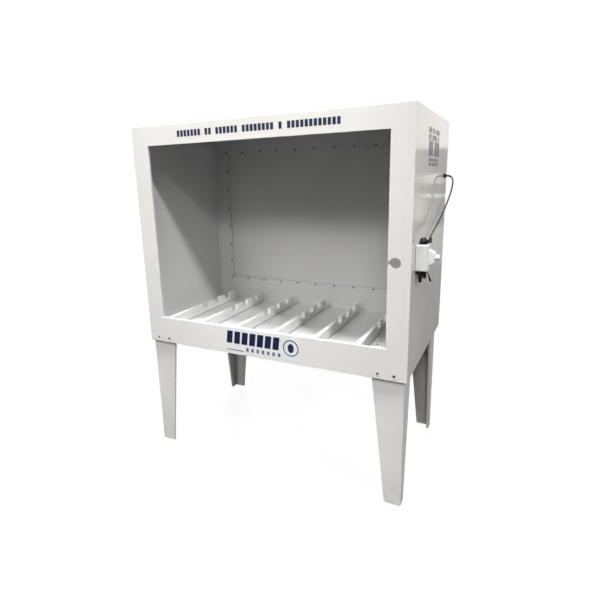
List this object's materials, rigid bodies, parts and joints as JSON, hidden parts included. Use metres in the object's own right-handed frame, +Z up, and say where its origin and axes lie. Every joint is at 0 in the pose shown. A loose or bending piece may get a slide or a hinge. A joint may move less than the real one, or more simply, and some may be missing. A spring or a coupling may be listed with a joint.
{
  "type": "screen washout booth",
  "caption": "Open-fronted backlit washout booth of plastic plate on four tapered angle legs, with notched screen rails, a floor drain, a keyhole holder and a side switch box.",
  "frame": {"origin": "on the floor, under the centre of the cabinet's plan", "axes": "+Z up, the open front faces -Y, the switch box is on the +X side"},
  "size_m": [1.5805, 0.914, 1.829],
  "materials": {
    "shell_plastic": "satin",
    "chamber_plastic": "satin",
    "rail_plastic": "satin",
    "leg_plastic": "satin",
    "diffuser": "matt",
    "seal": "matt",
    "dark_screw": "blackened",
    "zinc_screw": "zinc plated",
    "white_sheet": "gloss",
    "lamp_tube": "opal",
    "lamp_cap": "plain",
    "lamp_holder": "plain",
    "drain_plastic": "plain",
    "box_plastic": "moulded",
    "knob_plastic": "moulded",
    "shaft_brass": "plain",
    "module_black": "plain",
    "lever_black": "moulded",
    "gland_black": "moulded",
    "cable_rubber": "satin"
  },
  "bodies": {
    "root": {"header_panel": "shell_plastic", "front_apron": "shell_plastic", "left_stile": "shell_plastic", "right_stile": "shell_plastic", "left_side_panel": "shell_plastic", "right_side_panel": "shell_plastic", "top_panel": "shell_plastic", "rear_apron": "shell_plastic", "rear_cover": "shell_plastic", "back_wall": "chamber_plastic", "floor_pan": "chamber_plastic", "screen_rail_1": "rail_plastic", "screen_rail_2": "rail_plastic", "screen_rail_3": "rail_plastic", "screen_rail_4": "rail_plastic", "screen_rail_5": "rail_plastic", "screen_rail_6": "rail_plastic", "front_left_leg": "leg_plastic", "front_right_leg": "leg_plastic", "rear_left_leg": "leg_plastic", "rear_right_leg": "leg_plastic", "floor_ribs": "leg_plastic", "window_diffuser": "diffuser", "window_gasket": "seal", "switch_box_gasket": "seal", "switch_cover_gasket": "seal", "window_screws": "dark_screw", "leg_bolts": "dark_screw", "window_nuts": "zinc_screw", "rear_cover_screws": "zinc_screw", "leg_nuts": "zinc_screw", "switch_box_screws": "zinc_screw", "switch_cover_screws": "zinc_screw", "toggle_pin": "zinc_screw", "reflector_tray": "white_sheet", "lamp_tubes": "lamp_tube", "lamp_caps": "lamp_cap", "lamp_driver": "lamp_cap", "lamp_holders": "lamp_holder", "lamp_wiring": "lamp_holder", "drain_trough": "drain_plastic", "drain_outlet": "drain_plastic", "drain_outlet_nut": "drain_plastic", "switch_box": "box_plastic", "switch_cover": "box_plastic", "toggle_bushing": "shaft_brass", "toggle_nut": "shaft_brass", "dimmer_module": "module_black", "toggle_switch_body": "module_black", "light_gland_body": "gland_black", "light_gland_cap": "gland_black", "cable_elbow": "gland_black", "cable_elbow_cap": "gland_black", "supply_gland_body": "gland_black", "supply_gland_cap": "gland_black", "gland_locknuts": "gland_black", "light_cable": "cable_rubber"},
    "dimmer": {"dimmer_knob": "knob_plastic", "knob_shaft": "shaft_brass"},
    "toggle": {"toggle_lever": "lever_black"}
  },
  "joints": [
    {"name": "dimmer_turn", "type": "hinge", "parent": "root", "child": "dimmer", "pos_m": [0.79, -0.3405, 1.201], "axis": [-1, 0, 0], "range_deg": [0, 270]},
    {"name": "toggle_throw", "type": "hinge", "parent": "root", "child": "toggle", "pos_m": [0.785, -0.3235, 1.1375], "axis": [0, 1, 0], "range_deg": [0, 40]}
  ]
}
